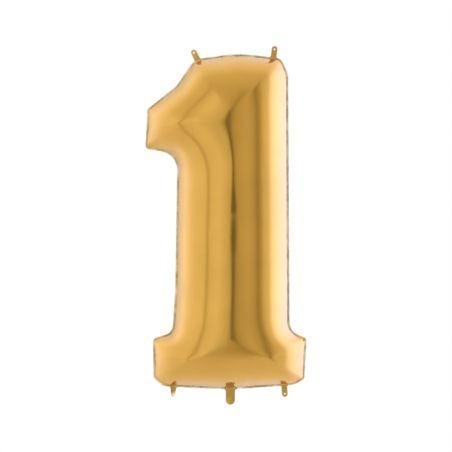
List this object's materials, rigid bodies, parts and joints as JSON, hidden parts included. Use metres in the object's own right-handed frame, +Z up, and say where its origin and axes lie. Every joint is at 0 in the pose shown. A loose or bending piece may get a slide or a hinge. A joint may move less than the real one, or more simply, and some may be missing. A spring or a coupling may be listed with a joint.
{
  "type": "foil number balloon",
  "caption": "Inflated metallised foil balloon in the shape of the figure 1, with a sealed rim, folding hang tabs and a self-sealing inflation neck.",
  "frame": {"origin": "middle of the inflation neck's mouth, the lowest point of the balloon, in the plane of the seam", "axes": "+Z up the figure along its stem, front of the figure faces -Y, the flag of the figure points to -X"},
  "size_m": [0.468, 0.26, 1.0397],
  "materials": {
    "gold_foil_front": "satin metallised film",
    "gold_foil_back": "satin metallised film",
    "gold_foil_neck": "satin metallised film, two layers",
    "gold_foil_tab": "satin metallised film, welded double",
    "clear_valve_film": "milky clear polyethylene film"
  },
  "bodies": {
    "envelope": {"front_panel": "gold_foil_front", "back_panel": "gold_foil_back"},
    "inflation_neck": {"neck_front_film": "gold_foil_neck", "neck_back_film": "gold_foil_neck"},
    "tab_top_left": {"hang_tab_top_left": "gold_foil_tab"},
    "tab_top_right": {"hang_tab_top_right": "gold_foil_tab"},
    "tab_bottom_left": {"hang_tab_bottom_left": "gold_foil_tab"},
    "tab_bottom_right": {"hang_tab_bottom_right": "gold_foil_tab"},
    "valve_front": {"valve_front_film": "clear_valve_film"},
    "valve_back": {"valve_back_film": "clear_valve_film"}
  },
  "joints": [
    {"name": "tab_top_left_fold", "type": "hinge", "parent": "envelope", "child": "tab_top_left", "pos_m": [-0.09557, 0, 1.00033], "axis": [0.8944, 0, 0.4472], "range_deg": [-80, 80], "stiffness_Nm_per_rad": 0.002},
    {"name": "tab_top_right_fold", "type": "hinge", "parent": "envelope", "child": "tab_top_right", "pos_m": [0.12545, 0, 1.00787], "axis": [0.992, 0, -0.126], "range_deg": [-80, 80], "stiffness_Nm_per_rad": 0.002},
    {"name": "tab_bottom_left_fold", "type": "hinge", "parent": "envelope", "child": "tab_bottom_left", "pos_m": [-0.16495, 0, 0.04965], "axis": [0.9989, 0, -0.0463], "range_deg": [-80, 80], "stiffness_Nm_per_rad": 0.001},
    {"name": "tab_bottom_right_fold", "type": "hinge", "parent": "envelope", "child": "tab_bottom_right", "pos_m": [0.15647, 0, 0.05305], "axis": [0.9975, 0, 0.0705], "range_deg": [-80, 80], "stiffness_Nm_per_rad": 0.001},
    {"name": "neck_fold", "type": "hinge", "parent": "envelope", "child": "inflation_neck", "pos_m": [0, 0, 0.04351], "axis": [1, 0, 0], "range_deg": [-80, 80], "stiffness_Nm_per_rad": 0.001},
    {"name": "valve_open", "type": "hinge", "parent": "envelope", "child": "valve_front", "pos_m": [0, -0.0003, 0.05221], "axis": [1, 0, 0], "range_deg": [0, 8], "stiffness_Nm_per_rad": 0.01},
    {"name": "valve_open_back", "type": "hinge", "parent": "envelope", "child": "valve_back", "pos_m": [0, 0.0003, 0.05221], "axis": [1, 0, 0], "range_deg": [-8, 0], "stiffness_Nm_per_rad": 0.01}
  ],
  "couplings": [
    {"joint": "valve_open_back", "follows": "valve_open", "ratio": -1}
  ]
}
